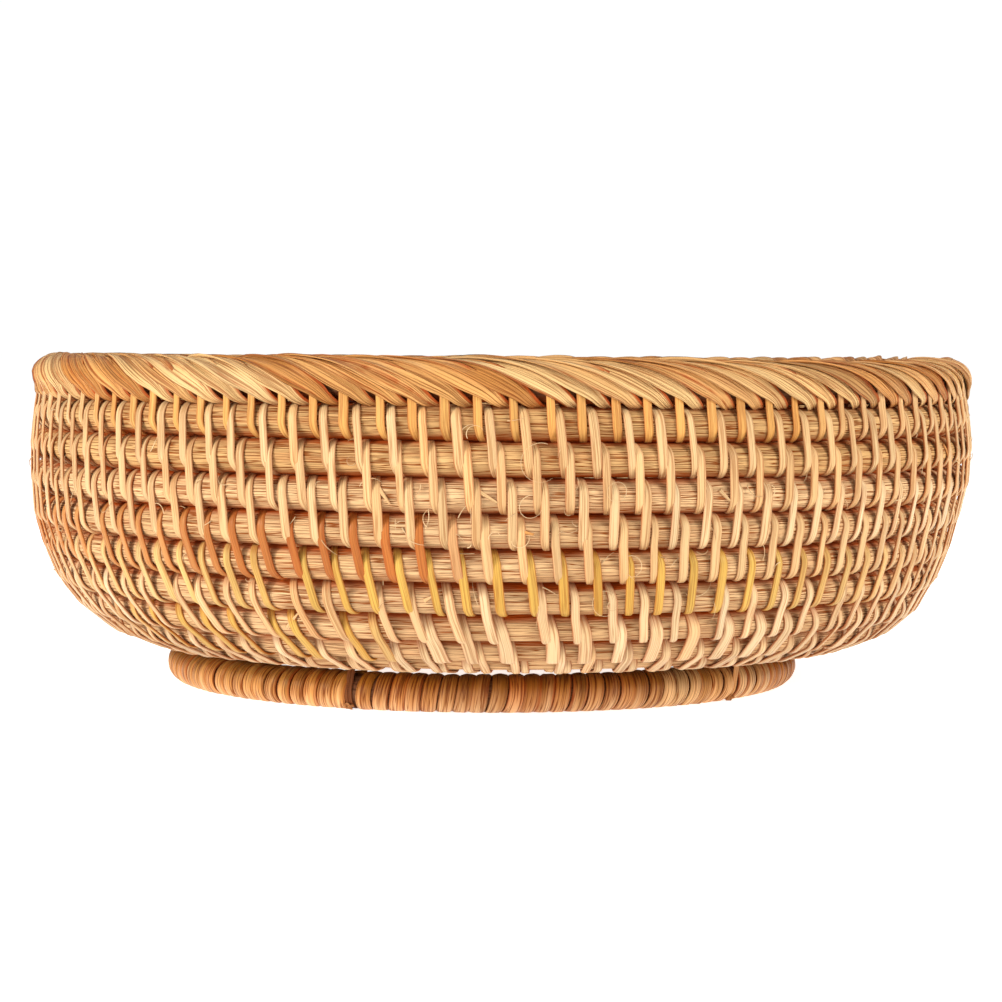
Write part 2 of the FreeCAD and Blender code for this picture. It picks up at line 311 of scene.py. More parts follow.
def swept(path, outward, closed, section, width, thick, roll=0.0):
    """Points of a flat strap along paths (count, along, 3); section is (across, height) pairs."""
    if closed:
        tangent = np.roll(path, -1, 1) - np.roll(path, 1, 1)
    else:
        tangent = np.gradient(path, axis=1)
    tangent = unit(tangent)
    side = unit(np.cross(tangent, outward))
    up = np.cross(side, tangent)
    cos, sin = np.cos(roll), np.sin(roll)
    side, up = (side * cos + up * sin, up * cos - side * sin) if np.ndim(roll) else (side, up)
    across, height = section
    across = across * width[..., None] / 2
    height = height * thick / 2
    return (path[:, :, None] + side[:, :, None] * across[..., None]
            + up[:, :, None] * height[..., None])


# Section of a flat peel strip: crowned above, thin edges, flat below.
SPLINT_ACROSS = np.array([-1.0, -0.88, -0.6, -0.22, 0.22, 0.6, 0.88, 1.0, 0.86, 0.0, -0.86])
SPLINT_HEIGHT = np.array([-0.1, 0.56, 0.88, 1.0, 1.0, 0.88, 0.56, -0.1, -1.0, -1.0, -1.0])
# painted shade on the strip's edges and underside, darkest where the crowned section turns away from the
# light
SPLINT_EDGE_SHADE = np.array([0.9, 0.42, 0.05, 0.0, 0.0, 0.05, 0.42, 0.9, 0.9, 0.9, 0.9])
SPLINT_TOP = slice(1, 7)


def section_grain(across, width):
    """Distance across a section at each of its points, with the first repeated at the end."""
    return np.append(across, across[0]) * width / 2


# ---- rods ----
def rod_strip(rng, centre_x, radius, z, rod, rough, spread):
    """A hand-laid rod bent into a ring, with its long fibres and flats."""
    around_length = TURN * radius / MM
    n = int(around_length / ROD_STEP)
    shape = (n, ROD_AROUND)
    flats = wander(rng, shape, (around_length / 45, 5))
    fibres = wander(rng, shape, (around_length / 16, ROD_AROUND // 2))
    splits = wander(rng, shape, (around_length / 9, 16))
    groove = np.clip(-fibres * 0.7 - splits * 0.6, 0, 1)
    face = ROD_FLATS * flats + ROD_FIBRES * fibres - ROD_GROOVES * groove
    reach = rod + spread + MM * rough * face
    sway = wander(rng, (n, 1), (around_length / 60, 1)) * ROD_SWAY * MM * rough
    lift = wander(rng, (n, 1), (around_length / 50, 1)) * ROD_SWAY * MM * rough
    turn = np.arange(n)[:, None] * TURN / n
    side = np.arange(ROD_AROUND)[None] * TURN / ROD_AROUND
    r = radius + sway + reach * np.cos(side)
    points = ring_points(r, z + lift + reach * np.sin(side), turn, centre_x)
    step = TURN / ROD_AROUND
    grain = (np.arange(n + 1) * TURN * radius / n, np.arange(ROD_AROUND + 1) * step * rod)
    return points[None], grain, groove[None], flats[None]


def rod_piece(name, node, seed, colour, material, rough=1.0, swell=0.0, beside=(),
              press=ROD_PRESS):
    """One rod of the bowl; beside holds the section angles towards the rods next to it."""
    rng = np.random.default_rng(seed)
    centre_x, radius, z, rod = ring_of(node)
    section = np.arange(ROD_AROUND) * TURN / ROD_AROUND
    near = np.max([np.cos(section - angle) for angle in beside] or [np.full(ROD_AROUND, -1.0)], 0)
    spread = press * MM * np.clip(near, 0, 1) ** 3
    strip, grain, groove, flats = rod_strip(rng, centre_x, radius, z, rod + swell * MM, rough, spread)
    patch = wander(rng, strip.shape[1:3], (strip.shape[1] / 18, 3))[None]
    warm = np.stack([1 + 0.04 * patch, 1 + 0.07 * patch, 1 + 0.11 * patch], -1) * rng.normal(1, 0.035)
    tone = np.clip(np.array(colour) * warm * (1 + 0.06 * flats[..., None]), 0, 1)
    # soiling and painted shade in the crevice where the rod presses on the rods beside it; the fibre
    # grooves are darkened a little as well
    dirt_and_shade = np.clip((near - 0.64) / 0.34, 0, 1) ** 1.3 * 1.2
    mesh = cane_mesh(name, strip, True, grain, tone, np.clip(groove * 0.3 + dirt_and_shade, 0, 1))
    return piece(name, mesh, material, [node])


# ---- splint stitches ----
def belt_path(a, b, offset):
    """Section (r, z, outward r, outward z, share) of a belt from above rod a, outside, and back inside.

    a and b are (r, z, rod radius).  share runs 0 to 1 down the outside and 1 to 2 up the inside.
    """
    heading = math.atan2(b[1] - a[1], b[0] - a[0])
    span = math.hypot(b[0] - a[0], b[1] - a[1])
    open_angle = math.acos((a[2] - b[2]) / span)
    rows = []

    def arc(rod, start, end, share_start, share_end, steps):
        for t in np.arange(steps) / steps:
            angle = start + (end - start) * t
            out = (math.cos(angle), math.sin(angle))
            reach = rod[2] + offset
            rows.append((rod[0] + reach * out[0], rod[1] + reach * out[1], *out,
                         share_start + (share_end - share_start) * t))

    def leg(start, end, angle, share_start, share_end, steps):
        out = (math.cos(angle), math.sin(angle))
        for t in np.arange(steps) / steps:
            rod = [start[n] + (end[n] - start[n]) * t for n in range(3)]
            reach = rod[2] + offset
            rows.append((rod[0] + reach * out[0], rod[1] + reach * out[1], *out,
                         share_start + (share_end - share_start) * t))

    outside, inside = heading + open_angle, heading - open_angle
    arc(a, heading + math.pi, outside, 0.0, 0.28, 7)
    leg(a, b, outside, 0.28, 0.72, 5)
    arc(b, outside, heading, 0.72, 1.0, 7)
    arc(b, heading, inside, 1.0, 1.28, 7)
    leg(b, a, inside, 1.28, 1.72, 5)
    arc(a, inside + TURN, heading + math.pi, 1.72, 2.0, 7)
    return np.array(rows).T


def stitch_drift(share, spans, lean, hook):
    """How far along the rod a stitch has moved at each share of its loop, in metres."""
    outside = np.interp(share, [0, 0.2, 0.4, 0.8, 1.0], [0, 0.85, 1.0, 1.0, 1.0])
    drift = hook[:, None] * (1 - outside) + lean[:, None] * np.clip(share, 0, 1)
    drift = drift + FOOT_LEAN * MM * np.clip((share - 0.75) / 0.25, 0, 1)
    end = spans[:, None] + np.roll(hook, -1)[:, None]
    begin = lean[:, None] + FOOT_LEAN * MM
    inside = np.clip(share - 1, 0, 1)
    return np.where(share > 1, begin + (end - begin) * inside, drift)


def splint_layer(name, node, upper, lower, seed, colours, width, lean, hook, material):
    """One long splint sewn all the way round between two rods."""
    rng = np.random.default_rng(seed)
    angles = solid_angles(node)
    count = len(angles)
    r, z, out_r, out_z, share = belt_path(upper, lower, (SPLINT_CLEAR + SPLINT_THICK / 2) * MM)
    radius = max(upper[0], lower[0])
    spans = (np.roll(angles, -1) - angles) % TURN * radius
    place = sewing_drift(angles, radius) + rng.normal(0, STITCH_SCATTER * MM, count) / radius
    side = np.clip((from_front(place) + 20) / 60, 0, 1) * np.clip((150 - from_front(place)) / 60, 0, 1)
    lean = rng.normal(lean, LEAN_SCATTER, count) * (1 - 0.55 * side) * MM
    hook = rng.normal(hook, HOOK_SCATTER, count) * MM
    drift = stitch_drift(share, spans, lean, hook)
    turn = place[:, None] + drift / radius
    over = np.clip(1 - np.abs(share - 0.78) / 0.25, 0, 1) * OVERLAP_LIFT * MM
    bow = rng.normal(SPLINT_BOW, 0.07, count)[:, None] * np.sin(np.clip(share, 0, 1) * math.pi) ** 1.4 * MM
    if node == "stitches_row_00":
        bow = bow * np.clip((share - 0.55) / 0.2, 0, 1) * 0.6
    reach = over + bow + np.clip(1 - np.abs(share - 1.25) / 0.3, 0, 1) * OVERLAP_LIFT * MM
    rr, zz = r + out_r * reach, z + out_z * reach
    path = ring_points(rr, zz, turn).reshape(1, -1, 3)
    outward = ring_points(out_r, out_z, turn).reshape(1, -1, 3)
    steps = len(share)
    wide = width(from_front(place)) * rng.normal(1, 0.07, count)
    wide = np.clip(wide, 0.75 * wide.mean(), 1.7 * wide.mean())
    taper = np.interp(share, [0, 0.1, 0.3, 0.76, 0.94, 1.1, 1.3, 2],
                      [0.9, 0.97, 1, 1, 0.82, 0.74, 0.85, 0.85])
    wides = (wide[:, None] * taper * MM).reshape(1, -1)
    roll = rng.normal(0, 0.10, count)[:, None] * np.sin(np.clip(share, 0, 1) * math.pi)
    roll = roll.reshape(1, -1, 1)
    ridge = rng.normal(0, 0.10, (count, 1, 6)) + 0.05 * rng.normal(0, 1, (count, steps, 6))
    height = np.broadcast_to(SPLINT_HEIGHT, (count, steps, len(SPLINT_HEIGHT))).copy()
    height[..., SPLINT_TOP] += ridge * (1 - np.abs(SPLINT_ACROSS[SPLINT_TOP]) * 0.4)
    height = height.reshape(1, count * steps, -1)
    strip = swept(path, outward, True, (SPLINT_ACROSS, height), wides, SPLINT_THICK * MM, roll)
    length = np.linalg.norm(np.roll(path, -1, 1) - path, axis=-1).reshape(-1)
    grain = (np.concatenate([[0], np.cumsum(length)]), section_grain(SPLINT_ACROSS, wide.mean() * MM))
    base = colours(from_front(place), rng)
    tone = np.repeat(base, steps, 0)[None, :, None, :] * np.ones((1, 1, len(SPLINT_ACROSS), 1))
    # painted shade where the stitch dives between the rods, added to the painted shade on the edges of its
    # section
    tuck = np.clip(np.abs(np.abs(share - 1) - 1) / 0.16, 0, 1) * np.clip(np.abs(share - 1) / 0.16, 0, 1)
    grime_and_shade = np.tile(1 - tuck, count)[None, :, None] * 0.8 + SPLINT_EDGE_SHADE
    mesh = cane_mesh(name, strip, True, grain, tone, np.clip(grime_and_shade, 0, 1))
    return piece(name, mesh, material, [node])


# ---- colour runs, by degrees to the right of the front ----
def mixed(rng, at, stops, spread=0.055):
    """Colour of each splint, blended between (degrees, colour) stops, each a little different."""
    places = [s[0] for s in stops]
    colours = np.array([s[1] for s in stops])
    base = np.stack([np.interp(at, places, colours[:, c]) for c in range(3)], -1)
    shade = rng.normal(1, spread, (len(at), 1))
    warmth = rng.normal(0, spread * 0.8, (len(at), 1))
    return np.clip(base * shade * (1 + warmth * np.array([0.0, 0.6, 1.4])), 0, 1)


def run(*stops):
    """A colour run that also goes once round the back in its end colours."""
    ends = [(-180.0, stops[0][1])] + list(stops) + [(180.0, stops[-1][1])]
    return lambda at, rng: mixed(rng, at, ends)


LAYER_COLOURS = {
    0: run((-60, PALE), (-50, GOLD), (35, GOLD), (42, PEACH), (60, PALE)),
    1: run((-40, PALE), (0, PALE), (40, PALE)),
    2: run((-40, PALE), (40, PEACH)),
    3: run((-40, PALE), (0, PALE), (40, CREAM)),
    4: run((-100, PALE), (-72, FADED), (-45, FADED), (-25, TERRACOTTA), (-7, TERRACOTTA), (-3, PALE),
           (60, PALE)),
    5: run((-70, PALE), (-40, STRAW), (-20, MUSTARD), (30, MUSTARD), (60, PALE)),
    6: run((-60, CREAM), (-20, PEACH), (0, CREAM), (60, CREAM)),
    7: run((-60, CREAM), (-50, MUSTARD), (-16, MUSTARD), (-12, CREAM), (60, CREAM)),
}
PLAIN_RUN = run((-80, PALE), (-60, CREAM), (60, CREAM), (90, PALE))


def layer_width(layer, node):
    """Splint width round a layer, in millimetres; one layer has a broad stretch near the front."""
    if layer == BROAD_LAYER:
        return lambda at: np.interp(at, [-14, -9, 33, 41], [2.2, 3.2, 3.2, 2.2])
    wide = START_SPLINT_WIDE if node == "stitches_start" else SPLINT_WIDE
    return lambda at: np.full(len(at), wide)


# ---- the rim cover ----
def rim_path(rim):
    """Section of a rim strip from its outer tip, over the top, to its inner tip."""
    radius, z, rod = rim
    reach = rod + (SPLINT_THICK + SPLINT_CLEAR + 0.2) * MM
    curl, drop = RIM_TIP_CURL * MM, RIM_TIP_DROP * MM
    quarter = reach * math.pi / 2
    half = quarter + drop + curl * RIM_TIP_TURN
    s = np.linspace(-half, half, 47)
    across, up = np.abs(s), np.sign(s)
    on_top = across < quarter
    angle = np.where(on_top, across / reach, math.pi / 2)
    past = np.clip(across - quarter, 0, drop)
    turn = np.clip(across - quarter - drop, 0, None) / curl
    out = reach * np.sin(angle) - curl * (1 - np.cos(turn))
    high = reach * np.cos(angle) - past - curl * np.sin(turn)
    normal = np.where(on_top, angle, math.pi / 2 + turn)
    return radius + up * out, z + high, up * np.sin(normal), np.cos(normal), s, half


def rim_tones(at, rng):
    """Colour of each rim strip: mixed tans with pale and brown ones among them."""
    runs = [(-180, RIM_TAN), (-70, RIM_TAN), (-62, RIM_PALE), (-55, RIM_BROWN), (-48, RIM_ORANGE),
            (-38, RIM_ORANGE), (-34, RIM_PALE), (-22, RIM_PALE), (-19, RIM_BROWN), (-16, RIM_ORANGE),
            (2, RIM_ORANGE), (6, RIM_PALE), (12, RIM_PALE), (15, RIM_BROWN), (22, RIM_ORANGE),
            (28, RIM_TAN), (33, RIM_PALE), (42, RIM_PALE), (47, RIM_BROWN), (54, RIM_TAN),
            (75, RIM_PALE), (100, RIM_TAN), (180, RIM_TAN)]
    tone = mixed(rng, at, runs, 0.08)
    odd = rng.uniform(0, 1, (len(at), 1))
    tone = np.where(odd > 0.86, np.array(RIM_PALE), tone)
    return np.where(odd < 0.10, np.array(RIM_BROWN), tone)


def rim_cover(material):
    """Grooved peel strips slanting over the rim, each lying over the edge of the next."""
    rng = np.random.default_rng(70)
    _, radius, z, rod = ring_of("rim_core")
    angles = solid_angles("rim_strips")
    count = len(angles)
    r, zz, out_r, out_z, s, half = rim_path((radius, z, rod))
    steps = len(s)
    rate = np.interp(np.abs(s) / MM, [0, 4, 7.5, 10, 15], [3.2, 2.4, 1.7, 1.1, 0.8])
    along = np.cumsum((rate + np.roll(rate, 1)) / 2) * (s[1] - s[0])
    along -= np.interp(0.66 * half, s, along)
    tip = sewing_drift(angles, radius) + rng.normal(-1.0 * MM, 0.45 * MM, count) / radius
    bend = 1 + rng.normal(0, 0.035, (count, 1))
    turn = tip[:, None] + along[None] * bend / radius
    swell = rng.uniform(-0.10, 0.22, (count, 1)) * MM * np.cos(s / half * math.pi / 2)
    rr, zz = r + out_r * swell, zz + out_z * swell
    path = ring_points(rr, zz, turn)
    outward = ring_points(out_r, out_z, turn)
    points = 17
    across = np.concatenate([np.linspace(-1, 1, points), [0.9, 0.0, -0.9]])
    crown = np.concatenate([1 - 0.55 * np.linspace(-1, 1, points) ** 4, [-1.0, -1.0, -1.0]])
    ridge = rng.normal(0, 0.26, (count, 1, points)) + 0.08 * rng.normal(0, 1, (count, steps, points))
    slit = (rng.uniform(0, 1, (count, 1, points)) > 0.93) * rng.uniform(0.3, 1.0, (count, steps, 1))
    height = np.broadcast_to(crown, (count, steps, len(crown))).copy()
    height[..., :points] += ridge - 0.9 * slit
    end = np.clip((half - np.abs(s)) / (9.0 * MM), 0, 1)
    taper = np.interp(np.abs(s) / MM, [0, 4, 6, 8, 10, 12, 15], [0.8, 1.0, 0.96, 0.79, 0.60, 0.46, 0.3])
    wide = rng.normal(RIM_STRIP_WIDE, 0.35, (count, 1)) * taper * MM
    strip = swept(path, outward, False, (across, height), wide, RIM_STRIP_THICK * MM)
    shingle = rng.uniform(0.6, 1.5, (count, 1, 1)) * RIM_STRIP_SHINGLE * MM * across * taper[:, None]
    strip = strip + outward[:, :, None] * shingle[..., None]
    length = np.linalg.norm(np.gradient(path[0], axis=0), axis=-1)
    grain = (np.append(np.cumsum(length), length.sum()), section_grain(across, RIM_STRIP_WIDE * MM))
    tone = rim_tones(from_front(tip), rng)[:, None, None, :] * np.ones((1, steps, len(across), 1))
    streak = rng.normal(0, 0.07, (count, 1, len(across), 1))
    tone = np.clip(tone * (1 + streak * np.array([0.8, 1.0, 1.3])), 0, 1)
    # painted shade in the slits, at the tucked-under tips, along each strip's raised edge, and under the
    # edge of the strip that lies over it
    grime_and_shade = np.zeros((count, steps, len(across)))
    grime_and_shade[..., :points] += 0.9 * slit
    grime_and_shade += np.clip(1 - end / 0.35, 0, 1)[None, :, None] * 0.6
    free = np.clip((np.abs(s) / MM - 4.0) / 3.0, 0, 1)[:, None]
    grime_and_shade += np.where(across > 0.97, 0.3, 0) + free * np.clip(-0.5 - across, 0, 0.25) / 0.25
    mesh = cane_mesh("rim_cover", strip, False, grain, tone, np.clip(grime_and_shade, 0, 1))
    return piece("rim_cover", mesh, material, ["rim_strips"])


# ---- the foot ring ----
def foot_tones(at, rng):
    """Colour of each turn of the winding: caramel, chestnut at the front, straw at the right."""
    stops = [(-180, FOOT_CARAMEL), (-32, FOOT_CARAMEL), (-22, FOOT_BROWN), (-5, FOOT_CHESTNUT),
             (29, FOOT_CHESTNUT), (32, FOOT_STRAW), (37, FOOT_STRAW), (40, FOOT_CARAMEL),
             (43, FOOT_LIGHT), (49, FOOT_STRAW), (59, FOOT_STRAW), (62, FOOT_BROWN),
             (90, FOOT_BROWN), (110, FOOT_CARAMEL), (180, FOOT_CARAMEL)]
    return mixed(rng, at, stops, 0.10)


def foot_winding(material):
    """The strip wound round the foot core, in runs between the ties."""
    rng = np.random.default_rng(90)
    centre_x, radius, z, core = ring_of("foot_core")
    ties = solid_angles("foot_ties", centre_x)
    reach = core + (BINDING_CLEAR + BINDING_THICK / 2) * MM
    slot = TIE_HALF_GAP * MM / radius
    steps = 40
    runs = []
    for n, start in enumerate(ties):
        end = ties[n + 1] if n + 1 < len(ties) else ties[0] + TURN
        span = end - start - 2 * slot
        turns = int(span * radius / MM / BINDING_PITCH)
        runs.append((start + slot, span / turns, turns))
    fewest = min(t for _, _, t in runs)
    strips, tones = [], []
    profile = (np.array([-1.0, -0.9, -0.6, -0.2, 0.2, 0.6, 0.9, 1.0, 0.8, 0.0, -0.8]),
               np.array([-0.5, 0.2, 0.75, 1.0, 1.0, 0.75, 0.2, -0.5, -1.0, -1.0, -1.0]))
    for start, pitch, turns in runs:
        pitch = pitch * turns / fewest
        share = np.arange(fewest * steps + 1) / steps
        skew = np.interp(share, np.arange(fewest + 1), rng.normal(0, 0.25, fewest + 1)) * MM / radius
        side = share * TURN + math.pi / 2
        turn = start + pitch * share + skew * np.cos(side)
        puff = np.interp(share, np.arange(fewest + 1), rng.normal(0, 0.05, fewest + 1)) * MM
        r = radius + (reach + puff) * np.cos(side)
        path = ring_points(r, z + (reach + puff) * np.sin(side), turn, centre_x)
        outward = ring_points(np.cos(side), np.sin(side), turn)
        wide = np.full((1, len(share)), pitch * radius)
        ridge = np.repeat(rng.normal(0, 0.10, (1, fewest + 1, 6)), steps, 1)[:, :len(share)]
        height = np.broadcast_to(profile[1], (1, len(share), len(profile[1]))).copy()
        height[..., 1:7] += ridge
        section = (profile[0], height)
        strips.append(swept(path[None], outward[None], False, section, wide, BINDING_THICK * MM))
        colour = foot_tones(from_front(start + pitch * np.arange(fewest + 1)), rng)
        # painted shade darkens the top of each turn, in the shadow of the body, and painted light makes its
        # underside paler, as lit from the floor; the split varies a little from turn to turn
        uneven = np.repeat(rng.normal(0, 0.10, (fewest + 1, len(profile[0]))), steps, 0)[:len(share)]
        lit_from_below = np.clip(0.5 - 0.5 * np.sin(side)[:, None] + uneven, 0, 1)[..., None]
        colour = np.repeat(colour, steps, 0)[:len(share), None] * (0.47 + 0.78 * lit_from_below)
        tones.append(colour + (np.array(FOOT_UNDERSIDE_LIT) - colour) * lit_from_below ** 2.5 * 0.75)
    strip = np.concatenate(strips)
    strip[..., 2] = np.maximum(strip[..., 2], BINDING_FLOOR_CLEAR * MM)
    tone = np.clip(np.stack(tones), 0, 1)
    joint = rng.uniform(0.1, 1.0, (len(strips), fewest + 1)) ** 1.5
    joint = np.repeat(joint, steps, 1)[:, :strip.shape[1], None]
    edge = np.clip((np.abs(profile[0]) - 0.6) / 0.4, 0, 1) * joint
    across = section_grain(profile[0], BINDING_PITCH * MM)
    grain = (np.arange(strip.shape[1] + 1) * TURN * reach / steps, across)
    mesh = cane_mesh("foot_winding", strip, False, grain, tone, edge)
    return piece("foot_winding", mesh, material, ["foot_binding"])


def foot_lashings(material):
    """Dark splints tied round the foot core and a base rod, each with a small knot."""
    rng = np.random.default_rng(110)
    centre_x, radius, z, core = ring_of("foot_core")
    middles = solid_middles("foot_ties")
    rows = [ring_of(n) for n in sorted(frame["nodes"]) if n.startswith("coil_row_")]
    flat = [row for row in rows if row[2] < rows[-1][2] + BASE_LEVEL * MM]
    strips = []
    tones = []
    for middle in middles:
        angle = math.atan2(middle[1], middle[0] - centre_x)
        across = centre_x * math.sin(angle)
        base = min(flat, key=lambda row: abs(math.sqrt(row[1] ** 2 - across ** 2)
                                             - centre_x * math.cos(angle) - radius))
        rod_r = math.sqrt(base[1] ** 2 - across ** 2) - centre_x * math.cos(angle)
        r, zz, out_r, out_z, share = belt_path((rod_r, base[2], base[3]), (radius, z, core), 0.3 * MM)
        for shift in (-TIE_APART, TIE_APART):
            turn = angle + (shift * MM + TIE_SWAY * MM * np.sin(share * math.pi)) / radius
            path = ring_points(r, zz, turn, centre_x)
            outward = ring_points(out_r, out_z, turn)
            wide = np.full((1, len(share)), TIE_WIDE * MM)
            height = SPLINT_HEIGHT + 0.12 * rng.normal(0, 1, (1, len(share), len(SPLINT_HEIGHT)))
            section = (SPLINT_ACROSS, height)
            strips.append(swept(path[None], outward[None], True, section, wide, TIE_THICK * MM))
            tones.append(FOOT_STRAW if 15 < from_front(angle) < 60 else TIE_BROWN)
    strip = np.concatenate(strips)
    strip[..., 2] = np.maximum(strip[..., 2], FLOOR_CLEAR * MM)
    grain = (np.arange(strip.shape[1] + 1) * 1.2 * MM, section_grain(SPLINT_ACROSS, 1.25 * MM))
    shade = rng.normal(1, 0.1, (len(strips), 1, 1, 1))
    tone = np.array(tones)[:, None, None] * shade * np.ones(strip.shape)
    mesh = cane_mesh("foot_lashings", strip, True, grain, np.clip(tone, 0, 1), 0.2)
    return piece("foot_lashings", mesh, material, ["foot_ties"])


def tube(path, first, second, thick, around):
    """Points of a round strand along a path, from two directions square to it."""
    ring = np.arange(around) * TURN / around
    return path[:, None] + thick * (first[:, None] * np.cos(ring)[None, :, None]
                                    + second[:, None] * np.sin(ring)[None, :, None])


def knots(material):
    """A small overhand knot on the outer side of each foot tie."""
    rng = np.random.default_rng(120)
    centre_x, radius, z, core = ring_of("foot_core")
    steps, around = 60, 8
    strips = []
    t = np.arange(steps) * TURN / steps
    trefoil = np.stack([np.sin(t) + 2 * np.sin(2 * t), np.cos(t) - 2 * np.cos(2 * t), -np.sin(3 * t)], -1)
    level = math.cos(KNOT_DOWN)
    hold = core + KNOT_OUT * MM
    for angle in solid_angles("foot_ties", centre_x):
        local = trefoil * (KNOT_SIZE * MM) + rng.normal(0, 0.03 * MM, trefoil.shape)
        out = np.array([level * math.cos(angle), level * math.sin(angle), -math.sin(KNOT_DOWN)])
        along = np.array([-math.sin(angle), math.cos(angle), 0.0])
        up = np.cross(out, along)
        core_point = np.array([centre_x + radius * math.cos(angle), radius * math.sin(angle), z])
        middle = core_point + out * hold
        path = middle + local[:, :1] * along + local[:, 1:2] * up + local[:, 2:] * out
        tangent = unit(np.roll(path, -1, 0) - np.roll(path, 1, 0))
        first = unit(np.cross(tangent, out + 1e-3))
        second = np.cross(tangent, first)
        strips.append(tube(path, first, second, KNOT_STRAND * MM, around))
    strip = np.stack(strips)
    strip[..., 2] = np.maximum(strip[..., 2], FLOOR_CLEAR * MM)
    grain = (np.arange(steps + 1) * 0.3 * MM, np.arange(around + 1) * 0.28 * MM)
    tone = np.array(KNOT_TAN) * np.ones(strip.shape)
    mesh = cane_mesh("tie_knots", strip, True, grain, tone, 0.1)
    return piece("tie_knots", mesh, material, [])


# ---- loose fibres ----
def loose_fibres(material):
    """Fine hairs of cane that have sprung out of the stitches."""
    rng = np.random.default_rng(130)
    wall = [ring_of(f"coil_row_{k:02d}") for k in range(1, 9)]
    middle = wall[3][2]
    steps, around = 22, 5
    strips = []
    for n in range(FIBRES):
        near = n < FIBRES_IN_FRONT
        angle = math.radians(rng.normal(2, 9) - 90) if near else rng.uniform(0, TURN)
        high = middle + (rng.normal(0, 8) if near else rng.uniform(-20, 26)) * MM
        row = min(wall, key=lambda ring: abs(ring[2] - high))
        reach = row[1] + row[3] + ON_STITCHES * MM
        curled = n < FIBRES_CURLED and n % 5 == 0
        size = rng.uniform(11.0, 19.0) * MM if curled else rng.uniform(2.0, 7.0) * MM
        heading = rng.uniform(0, TURN)
        curl = rng.choice([-1, 1]) * rng.uniform(4.0, 6.5) if curled else rng.normal(0, 1.6)
        t = np.linspace(0, 1, steps)
        way = heading + curl * t
        x = np.cumsum(np.cos(way)) * size / steps
        y = np.cumsum(np.sin(way)) * size / steps
        out = reach + np.sin(t * math.pi * 0.8) * rng.uniform(0.2, 1.1) * MM
        turn = angle + x / reach
        path = ring_points(out, high + y, turn)
        tangent = unit(np.gradient(path, axis=0))
        first = unit(np.cross(tangent, np.array([0.2, 0.3, 0.93])))
        second = np.cross(tangent, first)
        thick = rng.uniform(0.08, 0.16) * MM * (1 - 0.7 * t)[:, None, None]
        strips.append(tube(path, first, second, thick, around))
    strip = np.stack(strips)
    grain = (np.arange(steps + 1) * 0.4 * MM, np.arange(around + 1) * 0.1 * MM)
    tone = np.array(CREAM) * rng.uniform(0.85, 1.1, (len(strips), 1, 1, 1)) * np.ones(strip.shape)
    mesh = cane_mesh("loose_fibres", strip, False, grain, np.clip(tone, 0, 1), 0.0)
    return piece("loose_fibres", mesh, material, [])


def splint_tails(material):
    """Cut ends of splints left lying across the rods where a new splint was joined in."""
    rng = np.random.default_rng(140)
    spots = [(-2.5, 3, 5.5, -0.55), (-13, 3, 5.0, -0.9), (2, 4, 4.0, -0.25), (24, 3, 3.5, -0.8),
             (-26, 7, 5.0, 0.8), (-70, 2, 4.5, -0.7), (63, 2, 5.0, -1.1), (-8, 6, 3.0, 0.5)]
    spots += [(rng.uniform(60, 300), int(rng.integers(1, 9)), rng.uniform(3, 5), rng.uniform(-1, 1))
              for _ in range(TAILS_BEHIND)]
    steps = 12
    strips, tones = [], []
    for degrees, row, length, heading in spots:
        _, radius, z, rod = ring_of(f"coil_row_{row:02d}")
        t = np.linspace(0, 1, steps)
        along = t * length * math.cos(heading) * MM
        up = (t - 0.5) * length * math.sin(heading) * MM
        high = np.sqrt(np.clip((rod + ON_STITCHES * MM) ** 2 - up ** 2, 0, None)) + 0.5 * MM * t ** 2
        start = math.radians(degrees - 90)
        turn = start + along / radius
        out = radius + high
        path = ring_points(out, z + up, turn)
        outward = ring_points(1.0, up / rod, turn)
        wide = (TAIL_WIDE - 0.6 * t)[None] * MM
        section = (SPLINT_ACROSS, SPLINT_HEIGHT)
        strips.append(swept(path[None], unit(outward)[None], False, section, wide, TAIL_THICK * MM))
        tones.append(np.array(PALE if rng.uniform() > 0.3 else RIM_ORANGE) * rng.uniform(0.85, 1.05))
    strip = np.concatenate(strips)
    grain = (np.arange(steps + 1) * 0.4 * MM, section_grain(SPLINT_ACROSS, 1.2 * MM))
    tone = np.array(tones)[:, None, None, :] * np.ones(strip.shape)
    mesh = cane_mesh("splint_tails", strip, False, grain, np.clip(tone, 0, 1), SPLINT_EDGE_SHADE)
    return piece("splint_tails", mesh, material, [])


# ---- shader node groups ----
def new_group(name, inputs, outputs):
    """An empty group with its sockets: (name, type, default) each way."""
    tree = bpy.data.node_groups.new(name, "ShaderNodeTree")
    for label, kind, default in inputs:
        socket = tree.interface.new_socket(name=label, in_out="INPUT", socket_type=kind)
        if default is not None:
            socket.default_value = default
    for label, kind in outputs:
        tree.interface.new_socket(name=label, in_out="OUTPUT", socket_type=kind)
    return tree, tree.nodes.new("NodeGroupInput"), tree.nodes.new("NodeGroupOutput")


def maths(tree, operation, first, second=0.5, clamp=False):
    """Result of one sum; each term is a socket or a number."""
    node = tree.nodes.new("ShaderNodeMath")
    node.operation = operation
    node.use_clamp = clamp
    for socket, value in zip(node.inputs, (first, second)):
        if isinstance(value, bpy.types.NodeSocket):
            tree.links.new(value, socket)
        else:
            socket.default_value = value
    return node.outputs[0]


def blended(tree, kind, share, first, second):
    """Mix of two colours; each is a socket or a plain colour."""
    node = tree.nodes.new("ShaderNodeMix")
    node.data_type = "RGBA"
    node.blend_type = kind
    for socket, value in ((node.inputs[0], share), (node.inputs[6], first), (node.inputs[7], second)):
        if isinstance(value, bpy.types.NodeSocket):
            tree.links.new(value, socket)
        else:
            socket.default_value = value if isinstance(value, float) else (*value, 1.0)
    return node.outputs[2]


